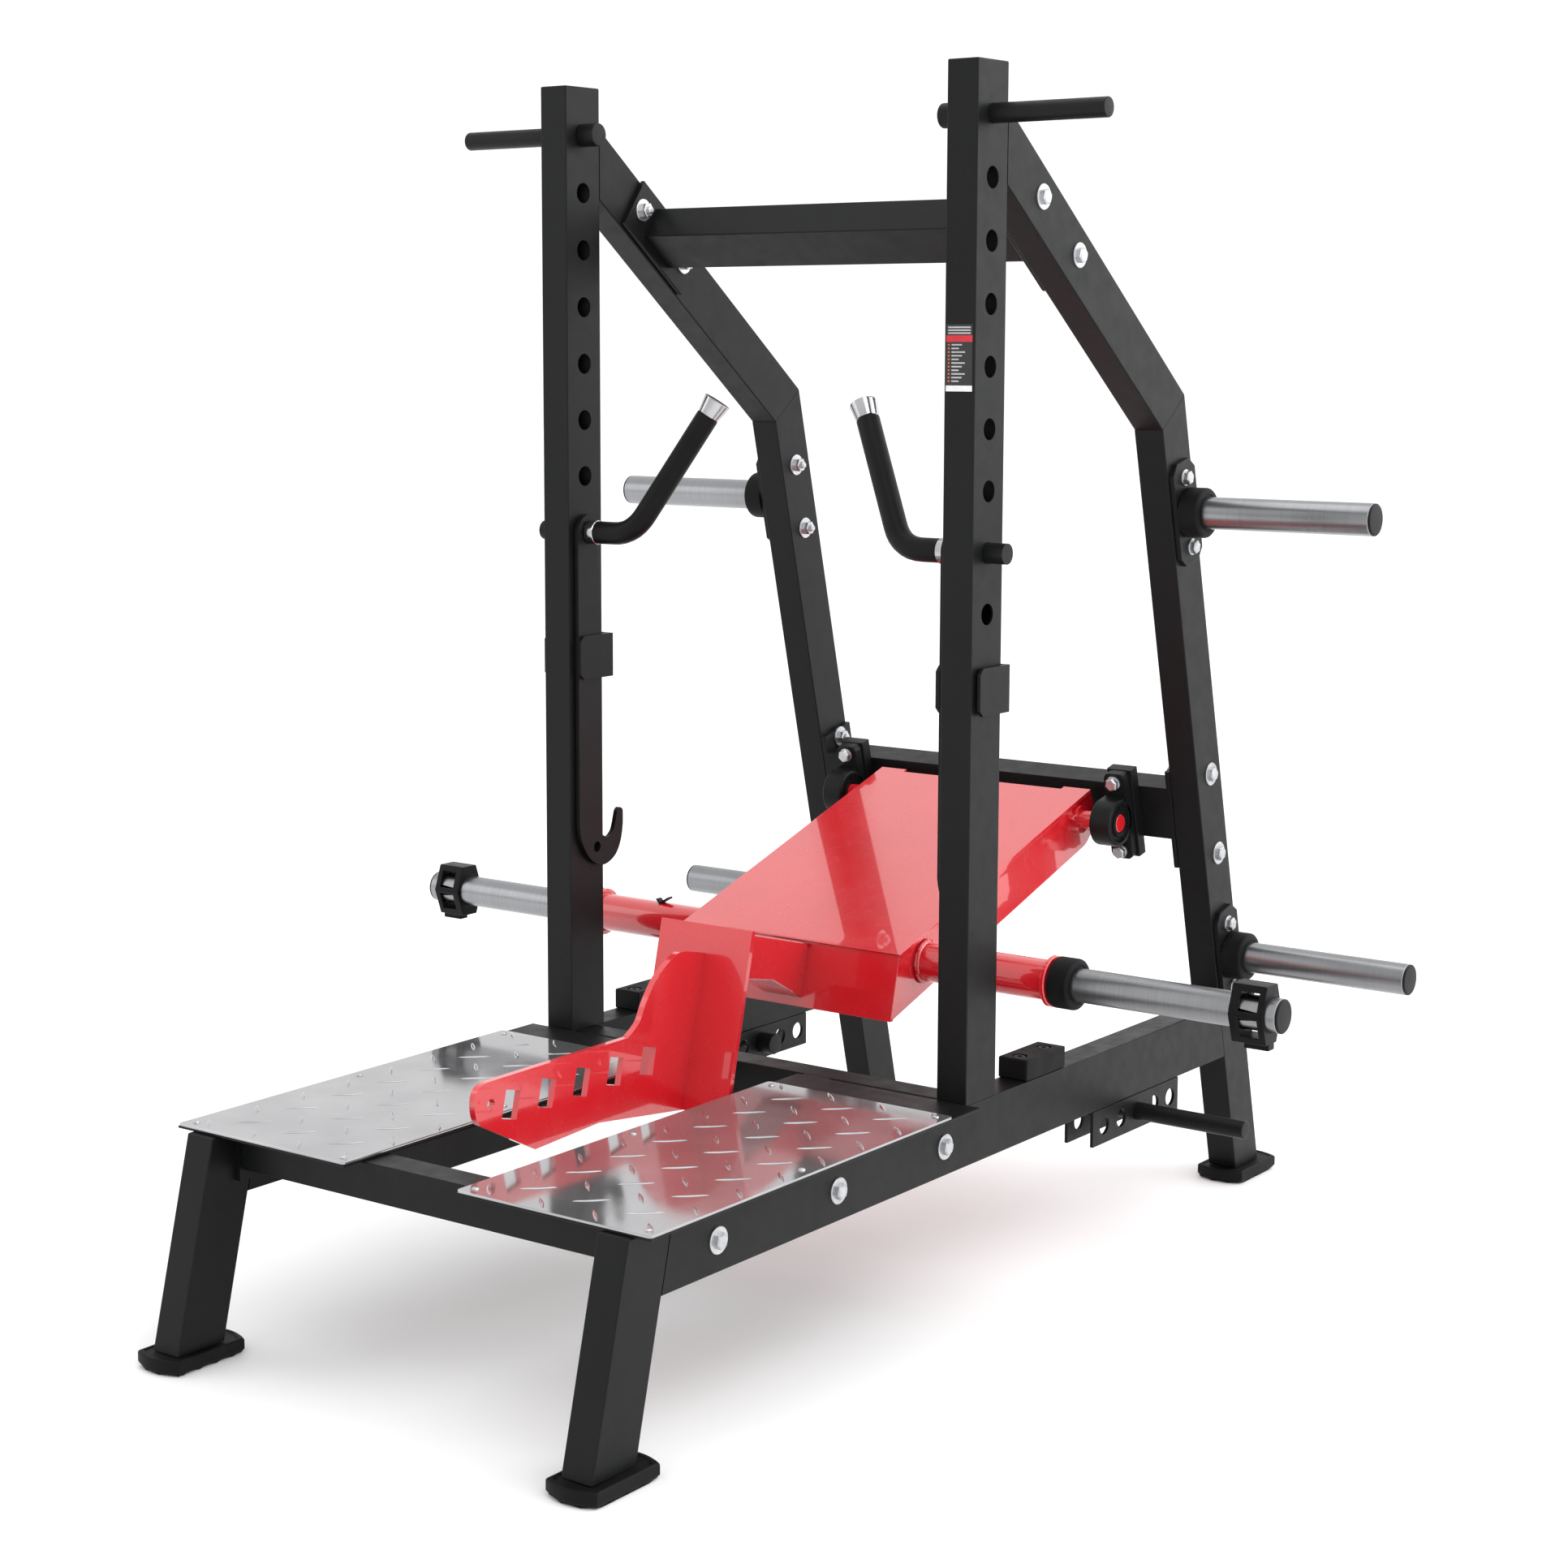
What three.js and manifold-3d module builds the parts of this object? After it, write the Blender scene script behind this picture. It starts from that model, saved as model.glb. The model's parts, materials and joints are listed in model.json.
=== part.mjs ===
// A plate-loaded lever belt-squat machine, in millimetres.
// X runs across the machine, Y from the user's platforms back to the rear legs, and Z up from the floor.
// While it is built, Y = 0 is the front face of the uprights. The last lines move the whole group by
// -FEET_CENTRE_Y, so that the origin lies on the floor at the centre of the feet.

import * as THREE from 'three';
import { mergeVertices } from 'three/addons/utils/BufferGeometryUtils.js';
import Module from 'manifold-3d';

const wasm = await Module();
wasm.setup();

// ---- Driving dimensions ----

const FEET_CENTRE_Y = 55;
const GAP = 0.3;                        // between two pieces that touch
const WALL = 3;                         // of every hollow tube

const SIDE = [342, 392];                // |X| of the rails, legs, uprights and struts
const RAIL_Z = [224, 313.5];
const FLOOR_TO_LEG = 22;                // height of a rubber foot
const FRONT_LEG = { topY: [-765, -679], bottomY: [-838, -752] };

const UPRIGHT_DEPTH = 80;
const UPRIGHT_TOP = 1780;
const UPRIGHT_HOLES = { y: 40.5, topZ: 1620.8, pitch: 86.38, count: 8, radius: 15.5 };
const AXLE_HOLE = 6;                    // which of those holes carries the hook's axle
const TOP_PEG = { z: 1707.2, x: [310, 573] };
const PEG = { radius: 14, head: 17.4 };

const KNEE_REAR = [610.5, 1314.6];      // where a strut meets a rear leg: outer and inner corner
const KNEE_FRONT = [542, 1261.2];
const STRUT_TOP_Z = [1611.3, 1719.2];   // where it meets the upright
const LEG_BOTTOM_Y = [849.7, 931];

const CROSS_TUBES = {
  front: { y: [-719, -669], z: [260, 313.5] },
  middle: { y: [12, 62], z: [224, 313.5] },
};
const END_PLATE = 8;
const BEARER = { x: [100, 150], height: 50 };
const PLATFORM = { x: [100, 420], y: [-757, -5], thickness: 3.5 };
const TREAD = { rearY: -77, thickness: 3 };

const TOP_CROSS = { centre: [227.5, 1557], along: 80, deep: 56, plate: [180, 84] };
const REAR_BEAM = { along: -452, length: 88, depth: 55, plateAlong: -441.6, plateLength: 167 };
const PAD = { x: [240, 284], depth: 20, length: 150 };
const PILLOW = { x: [243, 281], baseDepth: 18, baseLength: 148, radius: 38, bore: 15.3 };

const PIVOT = [634.5, 626];             // the lever's hinge axis, as (Y, Z)
const SHAFT = { radius: 15, x: 281 };
const HORN_ALONG = { upper: -951, lower: -194.5 };
const HORN = { radius: 25, bore: 21, end: 714, plate: [70, 165], bumper: [400.6, 435], bumperRadius: 39 };

const LEVER = {
  angle: 17.75, front: [108, 491], halfWidth: 205, lip: 4, plate: 7, rear: 46, rearMiddle: 36, round: 54,
};
const LEVER_FACE = [[114, 489], [91, 391]];    // the front plate's outer face, set back under the top's edge
const LEVER_TUBE = { y: 184, z: 468, radius: 30, bore: 26, x: 422, flange: 38, flangeX: 430 };
const SLEEVE = { radius: 25, bore: 21, end: 795, bumper: [434, 468], bumperRadius: 38 };
const COLLAR = {
  x: [723, 776], halfDepth: 31, halfTop: 16.5, halfHeight: 42, bore: 25.6,
  windowX: [737, 766], windowZ: [5.5, 32], clampX: [738, 776], clampY: [-8, 10], clampDrop: 9 };

const ARM_HALF_WIDTH = 37;
const FACE_PLATE = { top: [-97, 546], bottom: [-161.6, 280], halfWidth: 84, thickness: 8 };
const FIN = { thickness: 10, slotY: [-540, -465.5, -391, -317, -243], slotZ: 370, slot: [40, 30.5], hole: [-581, 379] };

const HOOK = { x: [332.2, 339.7], y: [11, 66.5], boss: 341.5, axle: 14.9, axleX: [314.5, 424] };
const GUIDE = { x: [326.7, 401.5], y: [10, 88], z: [874, 942], thickness: 5.5, webFrontY: 82.5, corner: 8 };
const GRIP = { radius: 17.6, start: 314, bend: 246.6, bendRadius: 60, end: [147.1, 99.5, 1283.3] };
const GRIP_CAP = { length: 27, radius: [17, 21.5] };

const STOP = { y: [168, 279], height: 32.5, holeY: [188, 257], hole: 7, counterbore: 12 };
const BAND = { y: [367, 639], z: [168, 224], wall: 5, holeY: [402, 455, 508, 561, 613], holeZ: 196, hole: 14.3 };
const BAND_PEG = { hole: 2, x: [314, 579] };
const FOOT = { x: [328, 410], frontY: [-850, -728], rearY: [838, 960], bulge: 12 };

// ---- Directions in the (Y, Z) plane ----

const unit = ([y, z]) => [y / Math.hypot(y, z), z / Math.hypot(y, z)];
const minus = (a, b) => [a[0] - b[0], a[1] - b[1]];

// The point reached from an origin by going so far along each of two directions.
function reach(origin, first, firstLength, second = [0, 0], secondLength = 0) {
  return [0, 1].map((i) => origin[i] + first[i] * firstLength + second[i] * secondLength);
}

// A rear leg slopes: it has one direction down its length and one out of its rear face.
const legDown = unit(minus([LEG_BOTTOM_Y[1], FLOOR_TO_LEG], KNEE_REAR));
const legRear = [-legDown[1], legDown[0]];
const legPoint = (rear, down) => reach([0, 0], legRear, rear, legDown, down);
const dot = (a, b) => a[0] * b[0] + a[1] * b[1];
const legFace = { front: dot(legRear, KNEE_FRONT), rear: dot(legRear, KNEE_REAR) };
const legMiddle = (legFace.front + legFace.rear) / 2;

const strutDown = unit(minus(KNEE_REAR, [UPRIGHT_DEPTH, STRUT_TOP_Z[1]]));
const strutUp = [-strutDown[1], strutDown[0]];

const slope = THREE.MathUtils.degToRad(LEVER.angle);
const leverRear = [Math.cos(slope), Math.sin(slope)];
const leverUp = [-Math.sin(slope), Math.cos(slope)];
const leverPoint = (rear, up) => reach(PIVOT, leverRear, rear, leverUp, up);
const leverTop = dot(minus(LEVER.front, PIVOT), leverUp);

const atHeight = (a, b, z) => [a[0] + (b[0] - a[0]) * (z - a[1]) / (b[1] - a[1]), z];

// ---- Solids ----

// One closed mesh with its vertices merged, no flat triangles and its faces pointing out.
function closed(geometry) {
  const bare = new THREE.BufferGeometry();
  const loose = geometry.index ? geometry.toNonIndexed() : geometry;
  bare.setAttribute('position', loose.getAttribute('position'));
  const merged = mergeVertices(bare, 1e-4);
  const place = merged.getAttribute('position');
  const corner = (i) => new THREE.Vector3().fromBufferAttribute(place, i);
  const index = [];
  let volume = 0;
  for (let i = 0; i < merged.index.count; i += 3) {
    const [a, b, c] = [0, 1, 2].map((k) => merged.index.getX(i + k));
    if (a === b || b === c || c === a) continue;
    index.push(a, b, c);
    volume += corner(a).dot(corner(b).cross(corner(c)));
  }
  if (volume < 0) index.reverse();
  merged.setIndex(index);
  return merged;
}

function toManifold(geometry) {
  const vertProperties = new Float32Array(geometry.getAttribute('position').array);
  const triVerts = new Uint32Array(geometry.index.array);
  return new wasm.Manifold(new wasm.Mesh({ numProp: 3, vertProperties, triVerts }));
}

function fromManifold(manifold) {
  const mesh = manifold.getMesh();
  const geometry = new THREE.BufferGeometry();
  geometry.setAttribute('position', new THREE.BufferAttribute(mesh.vertProperties, 3));
  geometry.setIndex(new THREE.BufferAttribute(mesh.triVerts, 1));
  return geometry;
}

function join(...geometries) {
  const [first, ...others] = geometries.map(toManifold);
  return fromManifold(others.reduce((whole, part) => whole.add(part), first));
}

function cut(geometry, ...tools) {
  const whole = toManifold(geometry);
  return fromManifold(tools.map(toManifold).reduce((rest, tool) => rest.subtract(tool), whole));
}

function mirrored(geometry) {
  return closed(geometry.clone().scale(-1, 1, 1));
}

function box([x0, x1], [y0, y1], [z0, z1]) {
  const block = new THREE.BoxGeometry(x1 - x0, y1 - y0, z1 - z0);
  return closed(block.translate((x0 + x1) / 2, (y0 + y1) / 2, (z0 + z1) / 2));
}

// A (Y, Z) outline, as points or as a Shape, made solid between two places along X.
function slab(outline, [x0, x1], curveSegments = 12) {
  const toPlane = ([y, z]) => new THREE.Vector2(y, z);
  const shape = Array.isArray(outline) ? new THREE.Shape(outline.map(toPlane)) : outline;
  const solid = new THREE.ExtrudeGeometry(shape, { depth: x1 - x0, bevelEnabled: false, curveSegments });
  const across = new THREE.Matrix4().makeBasis(
    new THREE.Vector3(0, 1, 0), new THREE.Vector3(0, 0, 1), new THREE.Vector3(1, 0, 0));
  return closed(solid.applyMatrix4(across).translate(x0, 0, 0));
}

// A round bar along X.
function bar([y, z], radius, [x0, x1], sides = 24) {
  const cylinder = new THREE.CylinderGeometry(radius, radius, x1 - x0, sides);
  return closed(cylinder.rotateZ(-Math.PI / 2).translate((x0 + x1) / 2, y, z));
}

// A profile of (X, radius) points turned about an axis along X.
function turned([y, z], profile, sides = 32) {
  const points = profile.map(([x, radius]) => new THREE.Vector2(radius, x));
  return closed(new THREE.LatheGeometry(points, sides).rotateZ(-Math.PI / 2).translate(0, y, z));
}

function ring(centre, outer, inner, [x0, x1], sides) {
  return turned(centre, [[x0, inner], [x0, outer], [x1, outer], [x1, inner], [x0, inner]], sides);
}

// Moves each edge of an outline by its own distance, inwards if positive.
function offsetOutline(points, distances) {
  const inwards = Math.sign(THREE.ShapeUtils.area(points.map(([y, z]) => new THREE.Vector2(y, z))));
  const edges = points.map((start, i) => {
    const along = unit(minus(points[(i + 1) % points.length], start));
    const normal = [-along[1] * inwards, along[0] * inwards];
    return { along, start: reach(start, normal, distances[i]) };
  });
  return edges.map((edge, i) => {
    const before = edges[(i + edges.length - 1) % edges.length];
    const across = [-edge.along[1], edge.along[0]];
    const travel = dot(minus(edge.start, before.start), across) / dot(before.along, across);
    return reach(before.start, before.along, travel);
  });
}

// A hollow box section whose bore runs out through the edges named as open.
function hollow(points, xRange, openEdges) {
  const distances = points.map((_, i) => (openEdges.includes(i) ? -2 * WALL : WALL));
  const bore = slab(offsetOutline(points, distances), [xRange[0] + WALL, xRange[1] - WALL]);
  return cut(slab(points, xRange), bore);
}

// A square-ended tube along X, open at both ends. Its section is centred on a (Y, Z) point.
function tubeAlongX(centre, first, firstLength, second, secondLength, xRange) {
  const section = (a, b) => [[-1, -1], [1, -1], [1, 1], [-1, 1]]
    .map(([i, j]) => reach(centre, first, i * a / 2, second, j * b / 2));
  const bore = section(firstLength - 2 * WALL, secondLength - 2 * WALL);
  const past = [xRange[0] - 1, xRange[1] + 1];
  return cut(slab(section(firstLength, secondLength), xRange), slab(bore, past));
}

function arc([y, z], radius, fromDegrees, toDegrees, steps = 12) {
  return Array.from({ length: steps + 1 }, (_, i) => {
    const angle = THREE.MathUtils.degToRad(fromDegrees + (toDegrees - fromDegrees) * i / steps);
    return [y + radius * Math.cos(angle), z + radius * Math.sin(angle)];
  });
}

// ---- Finishes ----

const finish = (color, roughness, metalness) => () => (
  new THREE.MeshStandardMaterial({ color, roughness, metalness }));
const blackPaint = finish(0x17181a, 0.45, 0.3);
const redPaint = finish(0xb5121b, 0.25, 0.2);
const steel = finish(0xb9bcc0, 0.3, 1);
const treadSteel = finish(0xc9cbd0, 0.15, 1);
const chrome = finish(0xdfe1e4, 0.08, 1);
const rubber = finish(0x0d0d0e, 0.8, 0);

const machine = new THREE.Group();
machine.position.y = -FEET_CENTRE_Y;

function add(name, geometry, material) {
  const mesh = new THREE.Mesh(geometry, material());
  mesh.name = name;
  machine.add(mesh);
}

// A piece made on the +X side, and its mirror image on the other side.
function addPair(name, geometry, material) {
  add(`right_${name}`, geometry, material);
  add(`left_${name}`, mirrored(geometry), material);
}

// ---- Frame ----

function rail() {
  const legBack = [[FRONT_LEG.topY[1] + GAP, RAIL_Z[1]], [FRONT_LEG.bottomY[1] + GAP, FLOOR_TO_LEG]];
  const legFront = [KNEE_FRONT, [LEG_BOTTOM_Y[0], FLOOR_TO_LEG]].map(([y, z]) => [y - GAP, z]);
  const [low, high] = RAIL_Z;
  const outline = [
    atHeight(...legBack, high), atHeight(...legBack, low), atHeight(...legFront, low), atHeight(...legFront, high)];
  return hollow(outline, SIDE, [0, 2]);
}

function frontLeg() {
  const bottom = FLOOR_TO_LEG + GAP;
  const outline = [
    [FRONT_LEG.topY[0], RAIL_Z[1]], [FRONT_LEG.bottomY[0], bottom],
    [FRONT_LEG.bottomY[1], bottom], [FRONT_LEG.topY[1], RAIL_Z[1]]];
  return hollow(outline, SIDE, [1]);
}

function rearLeg() {
  const [frontY, rearY] = LEG_BOTTOM_Y;
  const bottom = FLOOR_TO_LEG + GAP;
  return hollow([KNEE_FRONT, [frontY, bottom], [rearY, bottom], KNEE_REAR], SIDE, [1]);
}

function rearStrut() {
  const y = UPRIGHT_DEPTH + GAP;
  const end = [KNEE_REAR, KNEE_FRONT].map((knee) => reach(knee, strutDown, -GAP));
  return hollow([[y, STRUT_TOP_Z[0]], end[1], end[0], [y, STRUT_TOP_Z[1]]], SIDE, [1, 3]);
}

const uprightHole = (i) => [UPRIGHT_HOLES.y, UPRIGHT_HOLES.topZ - i * UPRIGHT_HOLES.pitch];
const past = (range) => [range[0] - 1, range[1] + 1];

function upright() {
  const bottom = RAIL_Z[1] + GAP;
  const outline = [[0, bottom], [UPRIGHT_DEPTH, bottom], [UPRIGHT_DEPTH, UPRIGHT_TOP], [0, UPRIGHT_TOP]];
  const holes = Array.from({ length: UPRIGHT_HOLES.count }, (_, i) => (
    bar(uprightHole(i), UPRIGHT_HOLES.radius, past(SIDE), 20)));
  const pegHole = bar([UPRIGHT_HOLES.y, TOP_PEG.z], PEG.radius + GAP, past(SIDE), 20);
  return cut(hollow(outline, SIDE, [0]), pegHole, ...holes);
}

const innerEnd = SIDE[0] - GAP;
const yAxis = [1, 0];
const zAxis = [0, 1];
const middle = ([low, high]) => (low + high) / 2;
const extent = ([low, high]) => high - low;

// A tube between the two sides, with a vented plate at each end that hangs below it.
function frontCrossTube() {
  const { y, z } = CROSS_TUBES.front;
  const reachX = innerEnd - END_PLATE;
  const tube = tubeAlongX(
    [middle(y), middle(z)], yAxis, extent(y), zAxis, extent(z), [-reachX - 1, reachX + 1]);
  const plate = box([reachX, innerEnd], [y[0] - 5, y[1] + 5], [z[0] - 15, z[1]]);
  const vent = bar([middle(y), middle(z)], 5, [-innerEnd - 1, innerEnd + 1], 12);
  return cut(join(tube, plate, mirrored(plate)), vent);
}

function middleCrossTube() {
  const { y, z } = CROSS_TUBES.middle;
  return tubeAlongX(
    [middle(y), middle(z)], yAxis, extent(y), zAxis, extent(z), [-innerEnd, innerEnd]);
}

function bearer() {
  const [x0, x1] = BEARER.x;
  const y = [CROSS_TUBES.front.y[1] + GAP, CROSS_TUBES.middle.y[0] - GAP];
  const z = [RAIL_Z[1] - BEARER.height, RAIL_Z[1]];
  const bore = box([x0 + WALL, x1 - WALL], past(y), [z[0] + WALL, z[1] - WALL]);
  return cut(box(BEARER.x, y, z), bore);
}

function topCrossTube() {
  const { centre, along, deep, plate } = TOP_CROSS;
  const reachX = innerEnd - END_PLATE;
  const tube = tubeAlongX(centre, strutDown, along, strutUp, deep, [-reachX - 1, reachX + 1]);
  const corners = [[-1, -1], [1, -1], [1, 1], [-1, 1]].map(([i, j]) => (
    reach(centre, strutDown, i * plate[0] / 2, strutUp, j * plate[1] / 2)));
  const endPlate = slab(corners, [reachX, innerEnd]);
  const vent = bar(centre, 5, [-innerEnd - 1, innerEnd + 1], 12);
  return cut(join(tube, endPlate, mirrored(endPlate)), vent);
}

// A rectangle on the rear leg's own directions.
function legRectangle([rear0, rear1], down, length) {
  const half = length / 2;
  return [
    legPoint(rear0, down - half), legPoint(rear1, down - half),
    legPoint(rear1, down + half), legPoint(rear0, down + half)];
}

function rearBeam() {
  const { along, length, depth, plateAlong, plateLength } = REAR_BEAM;
  const reachX = innerEnd - END_PLATE;
  const centre = legPoint(legFace.front + depth / 2, along);
  const tube = tubeAlongX(centre, legRear, depth, legDown, length, [-reachX - 1, reachX + 1]);
  const endPlate = slab(
    legRectangle([legFace.front, legFace.rear], plateAlong, plateLength), [reachX, innerEnd]);
  const padFaces = [legFace.front - PAD.depth, legFace.front + 1];
  const pad = slab(legRectangle(padFaces, dot(legDown, PIVOT), PAD.length), PAD.x);
  const vent = bar(centre, 5, [-innerEnd - 1, innerEnd + 1], 12);
  return cut(join(tube, endPlate, mirrored(endPlate), pad, mirrored(pad)), vent);
}

function pillowBlock() {
  const base = legFace.front - PAD.depth - GAP;
  const down = dot(legDown, PIVOT);
  const baseFaces = [base - PILLOW.baseDepth, base];
  const plate = slab(legRectangle(baseFaces, down, PILLOW.baseLength), PILLOW.x);
  const neck = slab(legRectangle([dot(legRear, PIVOT), base - 1], down, 2 * PILLOW.radius), PILLOW.x);
  const housing = bar(PIVOT, PILLOW.radius, PILLOW.x, 32);
  return cut(join(plate, neck, housing), bar(PIVOT, PILLOW.bore, past(PILLOW.x), 24));
}

// A weight horn: a mounting plate with a hollow bar that is closed at its far end.
function horn(name) {
  const centre = legPoint(legMiddle, HORN_ALONG[name]);
  const face = SIDE[1] + GAP;
  const [width, length] = HORN.plate;
  const faces = [legMiddle - width / 2, legMiddle + width / 2];
  const plate = slab(legRectangle(faces, HORN_ALONG[name], length), [face, face + END_PLATE]);
  const sleeve = bar(centre, HORN.radius, [face + 1, HORN.end], 32);
  return cut(join(plate, sleeve), bar(centre, HORN.bore, [face - 1, HORN.end - 10], 24));
}

function hornBumper(name) {
  return ring(legPoint(legMiddle, HORN_ALONG[name]), HORN.bumperRadius, HORN.radius + GAP, HORN.bumper);
}

function platformBase() {
  const low = RAIL_Z[1] + GAP;
  return box(PLATFORM.x, PLATFORM.y, [low, low + PLATFORM.thickness]);
}

function treadPlate() {
  const low = RAIL_Z[1] + PLATFORM.thickness + 2 * GAP;
  return box(PLATFORM.x, [PLATFORM.y[0], TREAD.rearY], [low, low + TREAD.thickness]);
}

// A rubber block that the lowered lever comes down on, with its two sunk screw holes.
function stopBlock() {
  const low = RAIL_Z[1] + GAP;
  const high = low + STOP.height - GAP;
  const upright = (y, radius, z) => {
    const hole = new THREE.CylinderGeometry(radius, radius, extent(z), 16);
    return closed(hole.rotateX(Math.PI / 2).translate(middle(SIDE), y, middle(z)));
  };
  const through = STOP.holeY.map((y) => upright(y, STOP.hole, [low - 1, high + 1]));
  const sunk = STOP.holeY.map((y) => upright(y, STOP.counterbore, [high - 8, high + 1]));
  return cut(box(SIDE, STOP.y, [low, high]), ...through, ...sunk);
}

// The channel under a rail that takes a band peg in any of its holes.
function bandBracket() {
  const top = BAND.z[1] - GAP;
  const web = box(SIDE, BAND.y, [top - BAND.wall, top]);
  const walls = [[SIDE[0], SIDE[0] + BAND.wall], [SIDE[1] - BAND.wall, SIDE[1]]]
    .map((x) => box(x, BAND.y, [BAND.z[0], top]));
  const holes = BAND.holeY.map((y) => bar([y, BAND.holeZ], BAND.hole, past(SIDE), 20));
  return cut(join(web, ...walls), ...holes);
}

// A peg pushed through from the inner side, with a thicker head that stops against the tube.
function peg(axis, [innerX, outerX]) {
  const head = bar(axis, PEG.head, [innerX, SIDE[0] - GAP], 28);
  return join(head, bar(axis, PEG.radius, [innerX + 1, outerX], 28));
}

// A foot: a rectangle with bowed front and rear ends.
function foot([frontY, rearY]) {
  const [x0, x1] = FOOT.x;
  const centreX = middle(FOOT.x);
  const shape = new THREE.Shape();
  shape.moveTo(x0, frontY);
  shape.quadraticCurveTo(centreX, frontY - 2 * FOOT.bulge, x1, frontY);
  shape.lineTo(x1, rearY);
  shape.quadraticCurveTo(centreX, rearY + 2 * FOOT.bulge, x0, rearY);
  shape.closePath();
  const depth = FLOOR_TO_LEG;
  return closed(new THREE.ExtrudeGeometry(shape, { depth, bevelEnabled: false, curveSegments: 10 }));
}

// ---- Lever ----

// The folded red cover plate: a top, two deep sides, a front and the hub that the shaft runs through.
function leverShell() {
  const { halfWidth, plate, rear, rearMiddle, round } = LEVER;
  const frontEdge = dot(minus(LEVER.front, PIVOT), leverRear);
  const leverDegrees = LEVER.angle;
  const rearAngle = THREE.MathUtils.radToDeg(Math.acos(rear / round));
  const sideX = halfWidth - LEVER.lip;
  const side = slab([
    ...LEVER_FACE,
    ...arc(PIVOT, round, leverDegrees - 90, leverDegrees + rearAngle),
    leverPoint(rear, leverTop - 1)], [sideX - plate, sideX]);
  const topOutline = (rearEnd) => [
    LEVER.front, leverPoint(frontEdge + plate, leverTop - plate),
    leverPoint(rearEnd, leverTop - plate), leverPoint(rearEnd, leverTop)];
  const top = slab(topOutline(rearMiddle), [-halfWidth, halfWidth]);
  const tab = slab(topOutline(rear), [halfWidth - 50, halfWidth]);
  const inner = LEVER_FACE.map(([y, z]) => [y + plate, z]);
  const front = slab([...LEVER_FACE, inner[1], inner[0]], [-sideX, sideX]);
  const hub = bar(PIVOT, SHAFT.radius + 8, [-sideX - 10, sideX + 10], 24);
  const whole = join(side, mirrored(side), top, tab, mirrored(tab), front, hub);
  const shaftHole = bar(PIVOT, SHAFT.radius + GAP, [-halfWidth - 20, halfWidth + 20], 24);
  const tubeCentre = [LEVER_TUBE.y, LEVER_TUBE.z];
  const tubeHole = bar(tubeCentre, LEVER_TUBE.radius + GAP, [-halfWidth - 1, halfWidth + 1], 32);
  return cut(whole, shaftHole, tubeHole);
}

const tubeAxis = [LEVER_TUBE.y, LEVER_TUBE.z];

function crossTube() {
  const { radius, bore, x, flange, flangeX } = LEVER_TUBE;
  const outer = [[-flangeX, flange], [-x, flange], [-x, radius], [x, radius], [x, flange], [flangeX, flange]];
  return turned(tubeAxis, [[-flangeX, bore], ...outer, [flangeX, bore], [-flangeX, bore]]);
}

function weightSleeve() {
  const { radius, bore, end } = SLEEVE;
  const start = LEVER_TUBE.flangeX + GAP;
  return turned(tubeAxis, [
    [start, bore], [start, radius], [end, radius], [end, 0], [end - 10, 0], [end - 10, bore], [start, bore]]);
}

// A six-sided lock collar: windows in its slanted faces, and the end of its clamp lever underneath.
function lockCollar() {
  const { x, halfDepth, halfTop, halfHeight, bore, windowX, windowZ, clampX, clampY, clampDrop } = COLLAR;
  const [y, z] = tubeAxis;
  const body = slab([
    [y - halfDepth, z], [y - halfTop, z - halfHeight], [y + halfTop, z - halfHeight],
    [y + halfDepth, z], [y + halfTop, z + halfHeight], [y - halfTop, z + halfHeight]], x);
  const clampZ = [z - halfHeight - clampDrop, z - halfHeight + 1];
  const clamp = box(clampX, clampY.map((offset) => y + offset), clampZ);
  const windows = [1, -1].map((way) => {
    const heights = windowZ.map((height) => z + way * height).sort((a, b) => a - b);
    return box(windowX, past([y - halfDepth, y + halfDepth]), heights);
  });
  return cut(join(body, clamp), bar(tubeAxis, bore, past(x), 32), ...windows);
}

const plateDown = unit(minus(FACE_PLATE.bottom, FACE_PLATE.top));
const plateRear = [-plateDown[1], plateDown[0]];
const facePoint = (z, behind) => reach(atHeight(FACE_PLATE.top, FACE_PLATE.bottom, z), plateRear, behind);

// The box that carries the face plate. It is stepped up underneath to clear the middle cross tube.
function armBox() {
  const behind = FACE_PLATE.thickness + GAP;
  const frontPlate = (z) => reach(atHeight(...LEVER_FACE, z), [-1, 0], GAP);
  const lip = LEVER.front[0] - GAP;
  const outline = [
    frontPlate(481), [lip, 481], [lip, 487.5], facePoint(542, behind), facePoint(470, behind),
    [-45, 458], [20, 445], frontPlate(405)];
  return hollow(outline, [-ARM_HALF_WIDTH, ARM_HALF_WIDTH], [outline.length - 1]);
}

function finShape() {
  const shape = new THREE.Shape();
  shape.moveTo(...facePoint(505, 1));
  shape.splineThru([[-158, 516], [-183, 511], [-219, 489], [-246, 457], [-262, 430], [-288, 413]]
    .map(([y, z]) => new THREE.Vector2(y, z)));
  shape.lineTo(-585, 411);
  shape.quadraticCurveTo(-614, 411, -614, 385);
  shape.quadraticCurveTo(-614, 361, -602, 353);
  shape.lineTo(-491, 296);
  shape.lineTo(-354, 303);
  shape.lineTo(...facePoint(FACE_PLATE.bottom[1], 1));
  shape.closePath();
  return shape;
}

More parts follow.
